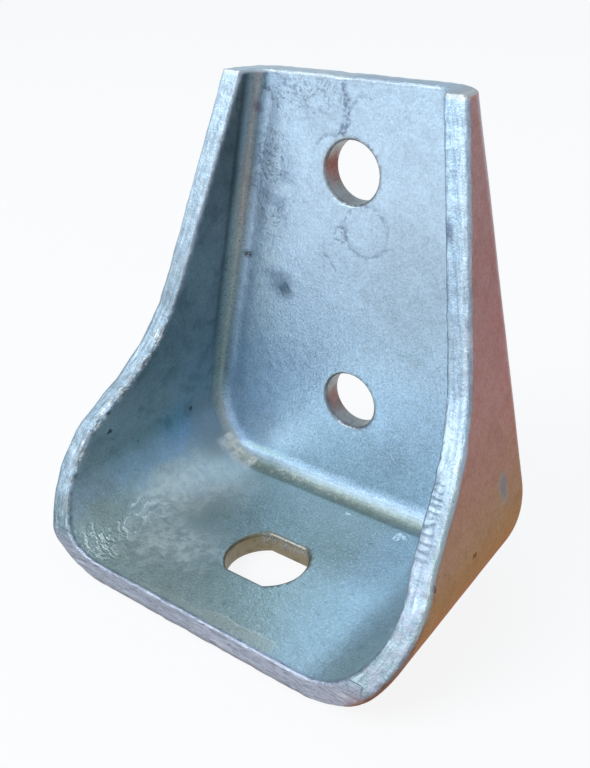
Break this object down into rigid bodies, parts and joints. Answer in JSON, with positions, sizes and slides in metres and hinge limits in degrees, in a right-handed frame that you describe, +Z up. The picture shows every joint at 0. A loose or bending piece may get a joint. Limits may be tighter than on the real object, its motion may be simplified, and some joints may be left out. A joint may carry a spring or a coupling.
{
  "type": "stamped angle bracket",
  "caption": "Deep-drawn sheet steel angle bracket with a tapering drilled back plate, a base with a double-D hole, and side walls that sweep down from one to the other.",
  "frame": {"origin": "under the middle of the bracket's width and depth, at the height of the underside of the base", "axes": "+Z up along the back plate, +Y from the open front to the flat back face, +X across the bracket"},
  "size_m": [0.0932, 0.0586, 0.1],
  "materials": {
    "galvanised_sheet": "hot-dip zinc over drawn sheet steel, dull and mottled, with stains and forming marks"
  },
  "bodies": {
    "root": {"bracket": "galvanised_sheet"}
  },
  "joints": []
}
